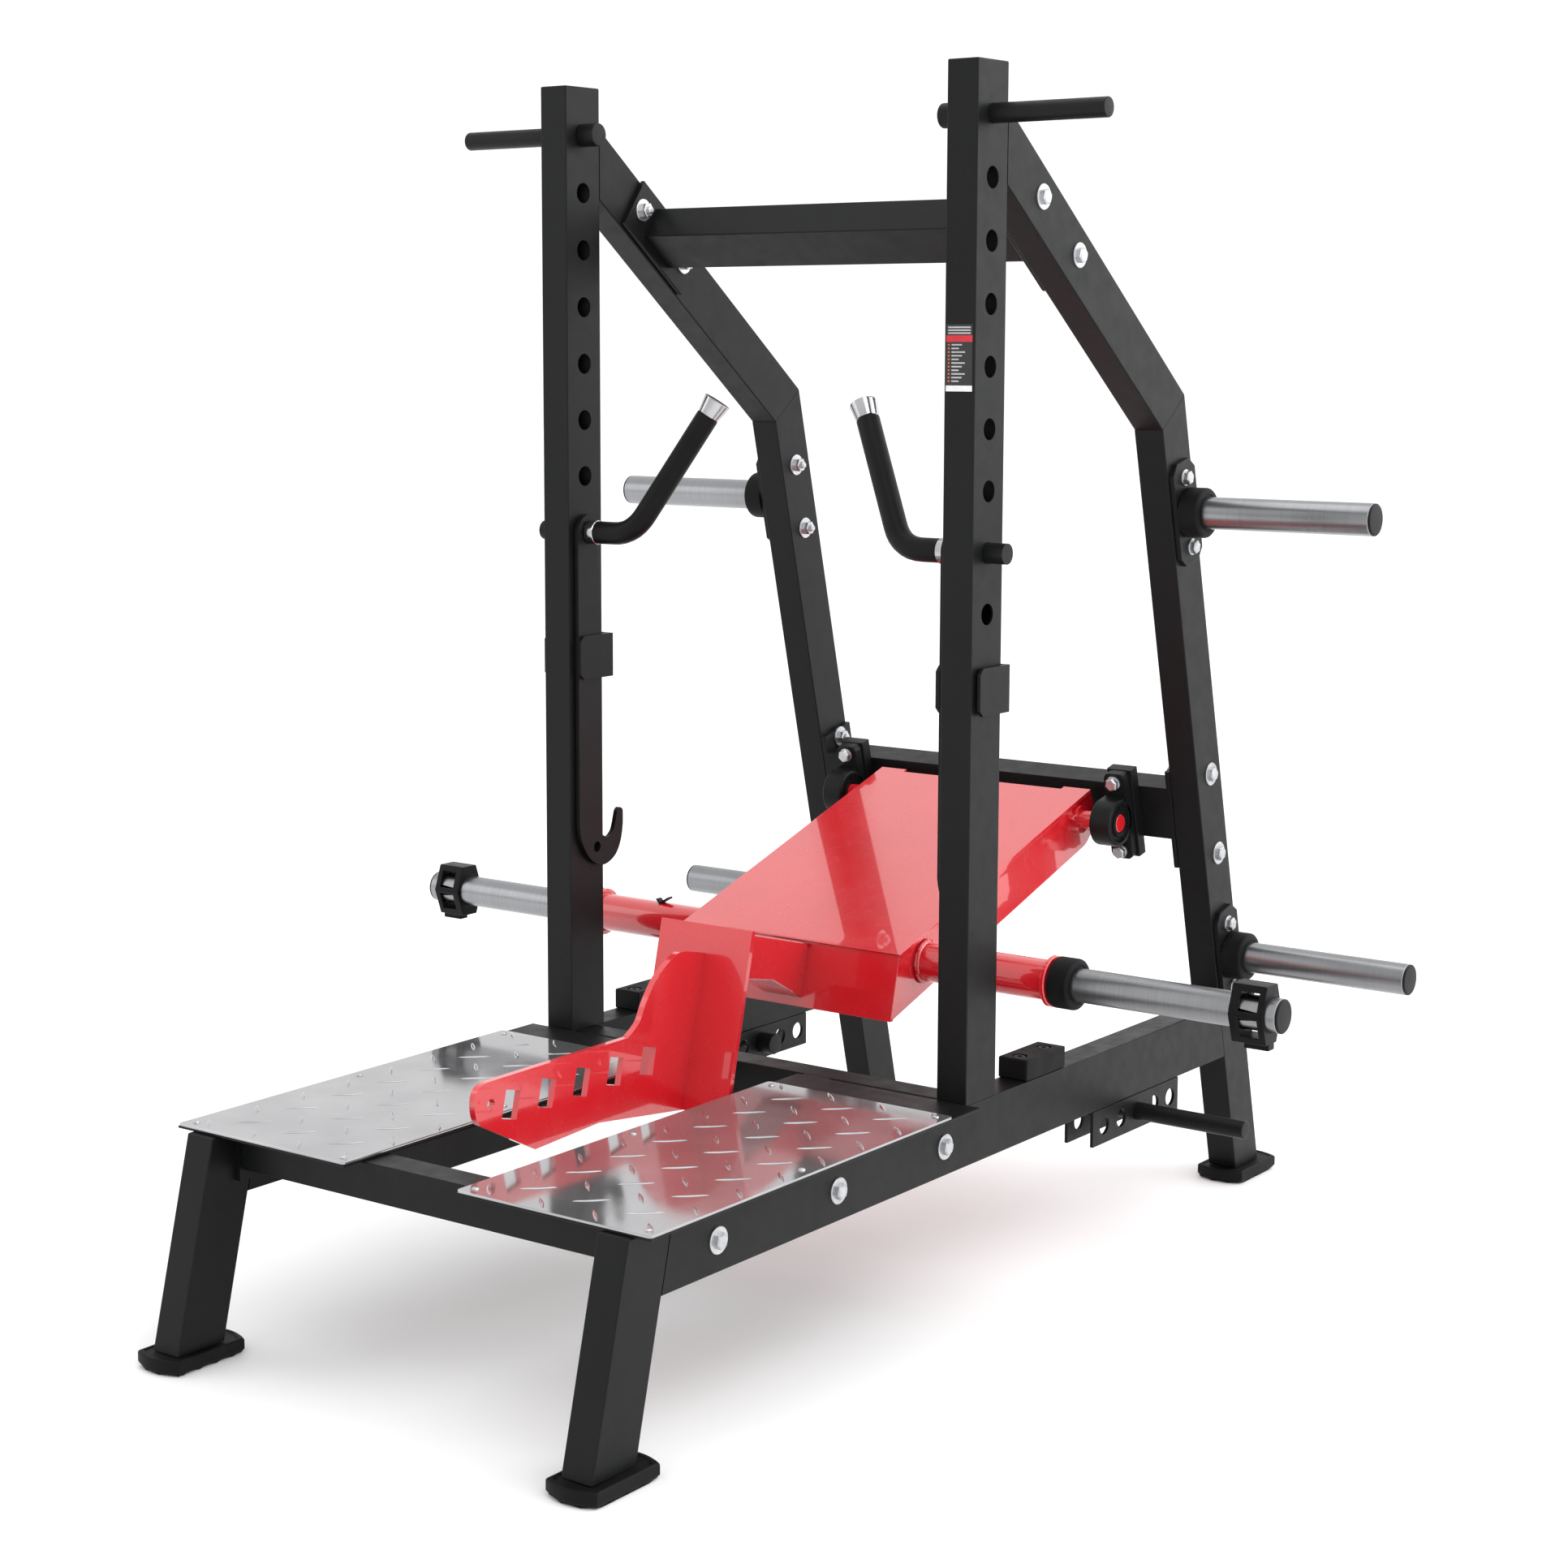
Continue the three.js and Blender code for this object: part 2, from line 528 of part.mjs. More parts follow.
// The face plate and the slotted fin that the belt clips to.
function beltBracket() {
  const { halfWidth, thickness, top, bottom } = FACE_PLATE;
  const corners = [top, bottom, reach(bottom, plateRear, thickness), reach(top, plateRear, thickness)];
  const plate = slab(corners, [-halfWidth, halfWidth]);
  const finX = [-FIN.thickness / 2, FIN.thickness / 2];
  const fin = slab(finShape(), finX, 5);
  const [slotLength, slotWidth] = FIN.slot;
  const slots = FIN.slotY.map((y) => slab([[-1, -1], [1, -1], [1, 1], [-1, 1]].map(([i, j]) => (
    reach([y, FIN.slotZ], plateDown, i * slotLength / 2, plateRear, j * slotWidth / 2))), past(finX)));
  const hole = bar(FIN.hole, 7.5, past(finX), 16);
  return cut(join(plate, fin), hole, ...slots);
}

// ---- Hooks ----

const axleAxis = uprightHole(AXLE_HOLE);

// The flat arm with its open hook, the axle it swings on and the channel that steadies it on the upright.
function hookArm() {
  const [front, rear] = HOOK.y;
  const half = (rear - front) / 2;
  const shape = new THREE.Shape();
  shape.moveTo(front, axleAxis[1]);
  shape.absarc(front + half, axleAxis[1], half, Math.PI, 0, true);
  shape.lineTo(rear, 622);
  const throat = [[78, 616.5], [88, 620.5], [95.5, 630], [103, 655]];
  shape.splineThru(throat.map(([y, z]) => new THREE.Vector2(y, z)));
  shape.quadraticCurveTo(111, 666, 117.5, 655);
  const belly = [[117, 630], [110.5, 604], [97.5, 585], [76, 574.5], [56, 576], [34, 590], [17, 615], [front, 637]];
  shape.splineThru(belly.map(([y, z]) => new THREE.Vector2(y, z)));
  shape.closePath();
  const arm = slab(shape, HOOK.x, 6);
  const axle = bar(axleAxis, HOOK.axle, HOOK.axleX, 20);
  const boss = bar(axleAxis, 24, [HOOK.x[1] - 1, HOOK.boss], 20);
  const hole = bar([53, 604.5], 8.5, past(HOOK.x), 16);
  const { thickness, webFrontY, corner, y: [guideFront, guideRear], z: [guideLow, guideHigh] } = GUIDE;
  const flange = [
    [guideFront + corner, guideLow], [guideRear, guideLow], [guideRear, guideHigh],
    [guideFront + corner, guideHigh], [guideFront, guideHigh - corner], [guideFront, guideLow + corner]];
  const innerFlange = slab(flange, [GUIDE.x[0], HOOK.x[0] + 1]);
  const web = box(GUIDE.x, [webFrontY, guideRear], GUIDE.z);
  const outerFlange = slab(flange, [GUIDE.x[1] - thickness, GUIDE.x[1]]);
  return join(cut(arm, hole), axle, boss, innerFlange, web, outerFlange);
}

const gripEnd = new THREE.Vector3(...GRIP.end);
const gripKnee = new THREE.Vector3(GRIP.bend, ...axleAxis);
const gripDirection = gripEnd.clone().sub(gripKnee).normalize();

// The bent rubber grip: along the axle, round a bend and up towards the user's hands.
function handleGrip() {
  const start = new THREE.Vector3(GRIP.start, ...axleAxis);
  const bendStart = gripKnee.clone().add(new THREE.Vector3(GRIP.bendRadius * 0.6, 0, 0));
  const bendEnd = gripKnee.clone().addScaledVector(gripDirection, GRIP.bendRadius * 0.6);
  const path = new THREE.CurvePath();
  path.add(new THREE.LineCurve3(start, bendStart));
  path.add(new THREE.QuadraticBezierCurve3(bendStart, gripKnee, bendEnd));
  path.add(new THREE.LineCurve3(bendEnd, gripEnd));
  const section = new THREE.Shape();
  section.absarc(0, 0, GRIP.radius, 0, 2 * Math.PI);
  return closed(new THREE.ExtrudeGeometry(section, { steps: 28, curveSegments: 10, extrudePath: path }));
}

function handleCap() {
  const [near, far] = GRIP_CAP.radius;
  const cone = new THREE.CylinderGeometry(far, near, GRIP_CAP.length, 28);
  cone.translate(0, GRIP_CAP.length / 2 + GAP, 0);
  cone.applyQuaternion(new THREE.Quaternion().setFromUnitVectors(new THREE.Vector3(0, 1, 0), gripDirection));
  return closed(cone.translate(...gripEnd.toArray()));
}

// ---- The machine ----

addPair('rail', rail(), blackPaint);
addPair('front_leg', frontLeg(), blackPaint);
addPair('rear_leg', rearLeg(), blackPaint);
addPair('rear_strut', rearStrut(), blackPaint);
addPair('upright', upright(), blackPaint);
add('front_cross_tube', frontCrossTube(), blackPaint);
add('middle_cross_tube', middleCrossTube(), blackPaint);
addPair('platform_bearer', bearer(), blackPaint);
addPair('platform_base', platformBase(), blackPaint);
addPair('tread_plate', treadPlate(), treadSteel);
add('top_cross_tube', topCrossTube(), blackPaint);
add('rear_beam', rearBeam(), blackPaint);
addPair('pillow_block', pillowBlock(), blackPaint);
for (const name of Object.keys(HORN_ALONG)) {
  addPair(`${name}_horn`, horn(name), steel);
  addPair(`${name}_horn_bumper`, hornBumper(name), rubber);
}
addPair('stop_block', stopBlock(), rubber);
addPair('band_bracket', bandBracket(), blackPaint);
addPair('band_peg', peg([BAND.holeY[BAND_PEG.hole], BAND.holeZ], BAND_PEG.x), blackPaint);
addPair('top_peg', peg([UPRIGHT_HOLES.y, TOP_PEG.z], TOP_PEG.x), blackPaint);
addPair('front_foot', foot(FOOT.frontY), rubber);
addPair('rear_foot', foot(FOOT.rearY), rubber);

add('lever_shell', leverShell(), redPaint);
add('pivot_shaft', bar(PIVOT, SHAFT.radius, [-SHAFT.x, SHAFT.x]), redPaint);
add('arm_box', armBox(), redPaint);
add('belt_bracket', beltBracket(), redPaint);
add('lever_cross_tube', crossTube(), redPaint);
addPair('weight_sleeve', weightSleeve(), steel);
addPair('sleeve_bumper', ring(tubeAxis, SLEEVE.bumperRadius, SLEEVE.radius + GAP, SLEEVE.bumper), rubber);
addPair('lock_collar', lockCollar(), rubber);

addPair('hook_arm', hookArm(), blackPaint);
addPair('handle_grip', handleGrip(), rubber);
addPair('handle_cap', handleCap(), chrome);

export default machine;
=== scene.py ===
"""Looks of a plate-loaded lever belt-squat machine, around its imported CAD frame.

Lengths are in millimetres, as in the CAD, and at() turns them into Blender's metres. Y = 0 is the front face of
the uprights, as it is while the CAD is built.
"""
import json
import math

import bmesh
import bpy
from mathutils import Matrix, Vector


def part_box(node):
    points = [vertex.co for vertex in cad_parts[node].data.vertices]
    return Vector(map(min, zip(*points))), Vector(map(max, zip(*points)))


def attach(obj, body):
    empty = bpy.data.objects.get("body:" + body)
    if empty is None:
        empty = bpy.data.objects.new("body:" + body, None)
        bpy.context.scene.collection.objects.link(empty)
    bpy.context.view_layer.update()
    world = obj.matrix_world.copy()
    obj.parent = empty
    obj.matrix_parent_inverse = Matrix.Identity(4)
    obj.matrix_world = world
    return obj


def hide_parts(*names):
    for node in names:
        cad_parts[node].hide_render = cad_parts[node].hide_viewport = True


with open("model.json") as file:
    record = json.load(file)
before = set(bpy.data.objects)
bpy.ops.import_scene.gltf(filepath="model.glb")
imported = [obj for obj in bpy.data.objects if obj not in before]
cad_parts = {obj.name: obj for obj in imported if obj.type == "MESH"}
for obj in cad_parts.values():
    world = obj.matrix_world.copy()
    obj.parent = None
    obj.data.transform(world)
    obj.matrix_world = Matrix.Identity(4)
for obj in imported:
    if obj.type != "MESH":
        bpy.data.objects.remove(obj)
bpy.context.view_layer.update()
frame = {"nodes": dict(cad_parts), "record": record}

MM = 0.001
UPRIGHT_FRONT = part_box("right_upright")[0].y
SIDES = (("right", 1), ("left", -1))


def at(x, y, z):
    """A place given in the CAD's millimetres, in metres."""
    return Vector((x * MM, y * MM + UPRIGHT_FRONT, z * MM))


# ---- Driving dimensions ----

GAP = 0.3                               # between two pieces that touch
SIDE_INNER = 342
SIDE_OUTER = 392
DECK_TOP = 313.5
END_PLATE = 8                           # thickness of the plate at the end of a cross tube

RAIL_BOLTS = [(-586, 267), (-319, 267), (-55, 267)]
STRUT_BOLTS = [(175.7, 1599.4), (279.6, 1520)]
LEG_AXIS = (869.3, (0.9706, 0.2407))    # a rear leg's middle line: its distance from the origin, and its normal
LEG_DOWN = (0.2407, -0.9706)
BEAM_BOLTS = (-510.5, -372.6)           # along the leg
HORNS = {"upper": -951, "lower": -194.5}
HORN = {"radius": 25, "end": 714, "plate": (70, 165, 8), "bolt": 56, "bumper": (400.6, 435), "bumper_radius": 39}
PIVOT = (634.5, 626)                    # (Y, Z), as for every place on a line along X
SHAFT = {"radius": 15, "end": 281}
PILLOW = {"x": (243, 281), "radius": 38, "bolt": 59.2, "base": (148, 18, 38), "centre_height": 43}
TUBE_AXIS = (184, 468)
TUBE = {"radius": 30, "bore": 26, "flange": 38, "flange_x": 422, "end": 430, "weld_x": 205.2}
CLIP_X = -298
SLEEVE = {"radius": 25, "start": 430.3, "end": 795, "bumper": (434, 468), "bumper_radius": 38}
HOOK_AXLE = (40.5, 1102.5)
GRIP_START = 314
GRIP_BEND = (246.6, 40.5, 1102.5)
GRIP_END = (147.1, 99.5, 1283.3)
STOP_SCREWS = [(367, 188), (367, 257)]  # (X, Y)
STOP_SCREW_HEIGHT = 24.5                # above the rail
PEG = {"radius": 14, "head": 17.4}
TREAD = {"pitch": (44, 45.5), "length": 50, "width": 6.5, "height": 1.3, "first": (36, 24), "screw_inset": 18}
FEET = {"front": (-850, -728), "rear": (838, 960)}
FOOT = {"x": (328, 410), "bulge": 12, "height": 22, "scallop": 2.2}
LABEL = {"x": (345, 388), "z": (1328, 1420)}

# Fasteners: radii of the washer and of the hexagon's corners, and how far each part stands out.
SIDE_BOLT = {"washer": 18.5, "corner": 11.6, "top": 8.6}
SIDE_NUT = {"washer": 17.5, "corner": 11.5, "top": 13, "bolt": 6, "bolt_end": 19}
HORN_BOLT = {"across": 19, "height": 8, "washer": 13}
PILLOW_BOLT = {"across": 19, "height": 8, "washer": 11.6}


# ---- Materials ----

def material(name, **sockets):
    """A Principled material with constants set on its own sockets. Returns it with a small node helper."""
    mat = bpy.data.materials.new(name)
    mat.use_nodes = True
    tree = mat.node_tree
    shader = tree.nodes["Principled BSDF"]
    for socket, value in sockets.items():
        shader.inputs[socket.replace("_", " ")].default_value = value
    return mat, Nodes(tree, shader)


class Nodes:
    """Adds and joins the few kinds of node that these materials use."""

    def __init__(self, tree, shader):
        self.tree = tree
        self.shader = shader
        self.place = tree.nodes.new("ShaderNodeTexCoord").outputs["Object"]

    def link(self, a, b):
        self.tree.links.new(a, b)

    def scaled(self, scale):
        """Object coordinates stretched along each axis."""
        node = self.tree.nodes.new("ShaderNodeMapping")
        node.inputs["Scale"].default_value = scale
        self.link(self.place, node.inputs["Vector"])
        return node.outputs["Vector"]

    def noise(self, scale, detail=2.0, rough=0.5, vector=None):
        node = self.tree.nodes.new("ShaderNodeTexNoise")
        node.inputs["Scale"].default_value = scale
        node.inputs["Detail"].default_value = detail
        node.inputs["Roughness"].default_value = rough
        self.link(vector or self.place, node.inputs["Vector"])
        return node.outputs["Fac"]

    def ramp(self, value, low, high, a, b):
        """Maps value from low..high to a..b, held at the ends."""
        node = self.tree.nodes.new("ShaderNodeMapRange")
        for socket, number in (("From Min", low), ("From Max", high), ("To Min", a), ("To Max", b)):
            node.inputs[socket].default_value = number
        self.link(value, node.inputs["Value"])
        return node.outputs["Result"]

    def mix(self, factor, a, b):
        """A colour between a and b, each a colour or another node's output."""
        node = self.tree.nodes.new("ShaderNodeMix")
        node.data_type = "RGBA"
        self.link(factor, node.inputs["Factor"])
        for socket, colour in ((node.inputs[6], a), (node.inputs[7], b)):
            if isinstance(colour, tuple):
                socket.default_value = (*colour, 1)
            else:
                self.link(colour, socket)
        return node.outputs[2]

    def colour(self, output):
        self.link(output, self.shader.inputs["Base Color"])

    def roughness(self, output):
        self.link(output, self.shader.inputs["Roughness"])

    def bump(self, height, distance, strength):
        node = self.tree.nodes.new("ShaderNodeBump")
        node.inputs["Distance"].default_value = distance
        node.inputs["Strength"].default_value = strength
        self.link(height, node.inputs["Height"])
        self.link(node.outputs["Normal"], self.shader.inputs["Normal"])


def black_paint():
    """Satin powder coat: a fine even grain, with faint cloudy changes of shade and gloss."""
    mat, n = material("black_powder_coat", Specular_IOR_Level=0.15)
    clouds = n.noise(5, 3)
    speckle = n.noise(900, 2, 0.7)
    base = n.mix(n.ramp(clouds, 0.3, 0.7, 0, 1), (0.0046, 0.0049, 0.0052), (0.0066, 0.0069, 0.0073))
    n.colour(n.mix(n.ramp(speckle, 0.6, 0.78, 0, 0.4), base, (0.032, 0.032, 0.034)))
    n.roughness(n.ramp(n.noise(40, 4), 0.3, 0.7, 0.36, 0.47))
    n.bump(n.noise(1100, 2, 0.6), 0.00022, 0.55)
    return mat


def red_paint():
    """Deep gloss red with a clear top coat and a very faint orange peel."""
    mat, n = material("red_gloss_paint", Coat_Weight=1.0, Coat_Roughness=0.02, Coat_IOR=1.62)
    clouds = n.noise(4, 2)
    n.colour(n.mix(n.ramp(clouds, 0.3, 0.7, 0, 1), (0.54, 0.006, 0.012), (0.62, 0.009, 0.017)))
    n.roughness(n.ramp(n.noise(25, 3), 0.3, 0.7, 0.22, 0.3))
    n.bump(n.noise(220, 1), 0.00004, 0.06)
    return mat


def turned_steel():
    """Satin steel sleeve: fine marks of turning run round it, along with a little handling wear."""
    mat, n = material("satin_steel", Metallic=1.0)
    marks = n.noise(1.0, 2, 0.5, n.scaled((1500, 3, 3)))
    wear = n.noise(5, 3, 0.5)
    bright = n.mix(n.ramp(marks, 0.3, 0.7, 0, 1), (0.25, 0.255, 0.265), (0.31, 0.315, 0.325))
    n.colour(n.mix(n.ramp(wear, 0.5, 0.8, 0, 0.6), bright, (0.2, 0.2, 0.21)))
    n.roughness(n.ramp(wear, 0.35, 0.7, 0.26, 0.34))
    n.bump(marks, 0.00002, 0.2)
    return mat


def tread_steel():
    """Polished tread plate: near a mirror, with fine rubbed scratches and dull patches."""
    mat, n = material("tread_steel", Metallic=0.8)
    rub = n.noise(1.0, 3, 0.6, n.scaled((260, 30, 60)))
    smudge = n.noise(9, 4)
    n.colour(n.mix(n.ramp(smudge, 0.3, 0.75, 0, 1), (0.33, 0.33, 0.34), (0.42, 0.42, 0.43)))
    n.roughness(n.ramp(smudge, 0.35, 0.75, 0.06, 0.13))
    n.bump(rub, 0.00005, 0.25)
    return mat


def chrome():
    """Bright chrome with faint wiped patches."""
    mat, n = material("chrome", Metallic=1.0)
    wiped = n.noise(30, 2)
    n.colour(n.mix(n.ramp(wiped, 0.35, 0.7, 0, 1), (0.38, 0.38, 0.395), (0.46, 0.46, 0.47)))
    n.roughness(n.ramp(wiped, 0.3, 0.7, 0.12, 0.2))
    n.bump(wiped, 0.00002, 0.1)
    return mat


def zinc():
    """Bright zinc plate on the bolts: slightly mottled."""
    mat, n = material("zinc_plate", Metallic=0.9)
    mottle = n.noise(70, 3)
    n.colour(n.mix(n.ramp(mottle, 0.35, 0.7, 0, 1), (0.42, 0.43, 0.45), (0.54, 0.54, 0.55)))
    n.roughness(n.ramp(mottle, 0.3, 0.7, 0.26, 0.34))
    n.bump(n.noise(300, 2), 0.00003, 0.25)
    return mat


def rubber():
    """Moulded black rubber, matt with a soft pebbled skin."""
    mat, n = material("black_rubber", Specular_IOR_Level=0.12)
    dust = n.noise(30, 4)
    n.colour(n.mix(n.ramp(dust, 0.45, 0.8, 0, 1), (0.0035, 0.0035, 0.0038), (0.008, 0.008, 0.0085)))
    n.roughness(n.ramp(dust, 0.3, 0.7, 0.5, 0.66))
    n.bump(n.noise(750, 2), 0.0002, 0.5)
    return mat


def grip_foam():
    """The grips' softer rubber, a little glossier, with a fine even pore."""
    mat, n = material("grip_rubber", Specular_IOR_Level=0.14)
    pores = n.noise(1300, 2, 0.6)
    n.colour(n.mix(n.ramp(n.noise(22, 3), 0.3, 0.7, 0, 1), (0.0022, 0.0022, 0.0024), (0.004, 0.004, 0.0042)))
    n.roughness(n.ramp(pores, 0.3, 0.7, 0.4, 0.52))
    n.bump(pores, 0.00018, 0.5)
    return mat


def collar_plastic():
    """Moulded glass-filled nylon: dark, with flow marks."""
    mat, n = material("collar_plastic", Specular_IOR_Level=0.12)
    flow = n.noise(1.0, 3, 0.6, n.scaled((60, 180, 60)))
    n.colour(n.mix(n.ramp(flow, 0.35, 0.7, 0, 1), (0.0025, 0.0025, 0.0028), (0.005, 0.005, 0.0055)))
    n.roughness(n.ramp(flow, 0.3, 0.7, 0.32, 0.45))
    n.bump(n.noise(500, 2), 0.0001, 0.4)
    return mat


BLACK = black_paint()
RED = red_paint()
STEEL = turned_steel()
TREAD_STEEL = tread_steel()
CHROME = chrome()
ZINC = zinc()
RUBBER = rubber()
GRIP = grip_foam()
PLASTIC = collar_plastic()


# ---- Meshes ----

def soften(obj, degrees=38):
    """Smooth shading with sharp edges kept, and flat faces that stay flat."""
    mesh = obj.data
    mesh.polygons.foreach_set("use_smooth", [True] * len(mesh.polygons))
    mesh.set_sharp_from_angle(angle=math.radians(degrees))
    weighted = obj.modifiers.new("flat_faces", "WEIGHTED_NORMAL")
    weighted.keep_sharp = True
    weighted.weight = 100


def piece(name, bm, mat, body, nodes=(), degrees=38):
    """A finished mesh that rides on a body, and stands for CAD nodes if any are named."""
    bmesh.ops.recalc_face_normals(bm, faces=bm.faces)
    mesh = bpy.data.meshes.new(name)
    bm.to_mesh(mesh)
    bm.free()
    mesh.materials.append(mat)
    obj = bpy.data.objects.new(name, mesh)
    bpy.context.scene.collection.objects.link(obj)
    soften(obj, degrees)
    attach(obj, body)
    if nodes:
        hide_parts(*nodes)
    return obj


def body_of(node):
    for body, members in frame["record"]["behaviour"]["bodies"].items():
        if node in members:
            return body
    raise KeyError(node)


def refine(node, mat, radius, segments=3, least_area=0):
    """The CAD node's own shape with its outer corners rounded. least_area (mm2) leaves thin rims sharp."""
    bm = bmesh.new()
    bm.from_mesh(frame["nodes"][node].data)
    bmesh.ops.remove_doubles(bm, verts=bm.verts, dist=1e-5)
    bmesh.ops.dissolve_limit(
        bm, angle_limit=math.radians(0.6), verts=bm.verts, edges=bm.edges, use_dissolve_boundaries=False)
    bm.normal_update()

    def rounds(edge):
        if not edge.is_manifold or not edge.is_convex or edge.calc_face_angle() < math.radians(50):
            return False
        return all(face.calc_area() > least_area * MM * MM for face in edge.link_faces)

    edges = [edge for edge in bm.edges if rounds(edge)]
    bmesh.ops.bevel(
        bm, geom=edges, offset=radius * MM, segments=segments, profile=0.5, affect="EDGES", clamp_overlap=True)
    return piece(f"{node}_finished", bm, mat, body_of(node), [node])


def turned(bm, matrix, profile, sides=48, closed=True):
    """Turns a profile of (distance along, radius) about the matrix's Z axis. A radius of 0 closes on the axis."""
    rings = []
    for along, radius in profile:
        if radius == 0:
            rings.append([bm.verts.new(matrix @ Vector((0, 0, along * MM)))])
            continue
        ring = []
        for i in range(sides):
            angle = 2 * math.pi * i / sides
            place = Vector((radius * math.cos(angle), radius * math.sin(angle), along)) * MM
            ring.append(bm.verts.new(matrix @ place))
        rings.append(ring)
    pairs = list(zip(rings, rings[1:]))
    if closed:
        pairs.append((rings[-1], rings[0]))
    for a, b in pairs:
        for i in range(sides):
            corners = [a[i % len(a)], a[(i + 1) % len(a)], b[(i + 1) % len(b)], b[i % len(b)]]
            corners = list(dict.fromkeys(corners))
            if len(corners) > 2:
                bm.faces.new(corners)


def prism(bm, matrix, outline, low, high, chamfer=0.0, chamfer_low=0.0):
    """A convex outline of (x, y), extruded along the matrix's Z, with its two rims chamfered."""
    centre = Vector((sum(x for x, _ in outline), sum(y for _, y in outline))) / len(outline)

    def ring(height, inset):
        loop = []
        for x, y in outline:
            away = Vector((x, y)) - centre
            shrunk = centre + away * (1 - inset / max(away.length, 1e-6))
            loop.append(bm.verts.new(matrix @ (Vector((shrunk.x, shrunk.y, height)) * MM)))
        return loop

    levels = [(low, chamfer_low), (low + chamfer_low, 0), (high - chamfer, 0), (high, chamfer)]
    kept = [level for i, level in enumerate(levels) if i in (0, 3) or level[0] not in (low, high)]
    rings = [ring(*level) for level in kept]
    for a, b in zip(rings, rings[1:]):
        for i, _ in enumerate(outline):
            j = (i + 1) % len(outline)
            bm.faces.new((a[i], a[j], b[j], b[i]))
    bm.faces.new(rings[0])
    bm.faces.new(rings[-1])


def aim(place, direction):
    """A matrix at a place in metres whose Z axis points along a direction."""
    turn = Vector(direction).normalized().to_track_quat("Z", "Y")
    return Matrix.Translation(place) @ turn.to_matrix().to_4x4()


def polygon(sides, radius, start=0.0):
    step = 2 * math.pi / sides
    return [(radius * math.cos(start + i * step), radius * math.sin(start + i * step)) for i in range(sides)]


def rounded_rectangle(width, length, radius, steps=5):
    outline = []
    corners = ((1, 1, 0), (-1, 1, 90), (-1, -1, 180), (1, -1, 270))
    for sx, sy, start in corners:
        for i in range(steps + 1):
            angle = math.radians(start + 90 * i / steps)
            outline.append((
                sx * (width / 2 - radius) + radius * math.cos(angle),
                sy * (length / 2 - radius) + radius * math.sin(angle)))
    return outline


def leg_place(x, down, out=0.0):
    """A place on a rear leg's middle line, so far down its length and so far out of its rear face."""
    distance, (ny, nz) = LEG_AXIS
    return at(x, (distance + out) * ny + down * LEG_DOWN[0], (distance + out) * nz + down * LEG_DOWN[1])


# ---- Fasteners ----

def hex_bolt(bm, place, direction, across, height, washer):
    """A hexagon head with a chamfered top on a round washer."""
    matrix = aim(place, direction)
    turned(bm, matrix, [(-1, 0), (-1, washer), (2, washer), (2.6, washer - 0.7), (2.6, 0)], 32, closed=False)
    corner = across / 2 / math.cos(math.radians(30))
    prism(bm, matrix, polygon(6, corner, 0.3), 2.4, 2.6 + height, chamfer=1.2)
    turned(bm, matrix, [
        (height + 2.4, 0), (height + 2.4, across * 0.43), (height + 3.1, across * 0.4), (height + 3.1, 0)],
        24, closed=False)


def cap_bolt(bm, place, direction):
    """A large bolt: a wide flat washer, and a hexagon head with a round chamfered face."""
    matrix = aim(place, direction)
    washer, top = SIDE_BOLT["washer"], SIDE_BOLT["top"]
    turned(bm, matrix, [(-1, 0), (-1, washer), (1.9, washer), (2.6, washer - 0.7), (2.6, 0)], 40, closed=False)
    prism(bm, matrix, polygon(6, SIDE_BOLT["corner"], 0.25), 2, top, chamfer=1.2)
    turned(bm, matrix, [(top - 0.4, 0), (top - 0.4, 9.2), (top + 0.6, 8.6), (top + 0.6, 0)], 24, closed=False)


def nut(bm, place, direction):
    """A nut on a wide washer, with the bolt's pointed end standing out of it."""
    matrix = aim(place, direction)
    washer, top, bolt, end = (SIDE_NUT[key] for key in ("washer", "top", "bolt", "bolt_end"))
    turned(bm, matrix, [(-1, 0), (-1, washer), (2, washer), (2.6, washer - 0.6), (2.6, 0)], 40, closed=False)
    prism(bm, matrix, polygon(6, SIDE_NUT["corner"], 0.1), 2.4, top, chamfer=1.2)
    turned(bm, matrix, [
        (top - 1, 0), (top - 1, bolt), (end - 2.5, bolt), (end, bolt - 2.4), (end, 0)], 20, closed=False)


def pan_screw(bm, place, direction, radius=5.0, height=2.2):
    """A small domed screw with a shallow round recess in its top."""
    matrix = aim(place, direction)
    dome = [(-1, 0), (-1, radius), (0.5, radius), (height * 0.7, radius * 0.85), (height, radius * 0.5),
            (height, radius * 0.22), (height - 1, radius * 0.18), (height - 1, 0)]
    turned(bm, matrix, dome, 20, closed=False)


def side_fasteners():
    for side, sign in SIDES:
        out = Vector((sign, 0, 0))
        bolts = bmesh.new()
        nuts = bmesh.new()
        for y, z in RAIL_BOLTS + STRUT_BOLTS:
            cap_bolt(bolts, at(sign * SIDE_OUTER, y, z), out)
        for down in BEAM_BOLTS:
            cap_bolt(bolts, leg_place(sign * SIDE_OUTER, down, 5), out)
            nut(nuts, leg_place(sign * (SIDE_INNER - END_PLATE - GAP), down, 5), -out)
        for y, z in STRUT_BOLTS:
            nut(nuts, at(sign * (SIDE_INNER - END_PLATE - GAP), y, z), -out)
        for down in HORNS.values():
            for step in (-HORN["bolt"], HORN["bolt"]):
                face = sign * (SIDE_OUTER + GAP + HORN["plate"][2])
                hex_bolt(bolts, leg_place(face, down + step), out, **HORN_BOLT)
                nut(nuts, leg_place(sign * SIDE_INNER, down + step), -out)
        piece(f"{side}_frame_bolts", bolts, ZINC, "frame")
        piece(f"{side}_frame_nuts", nuts, ZINC, "frame")


# ---- Frame ----

TUBES = ("rail", "front_leg", "rear_leg", "rear_strut", "upright")


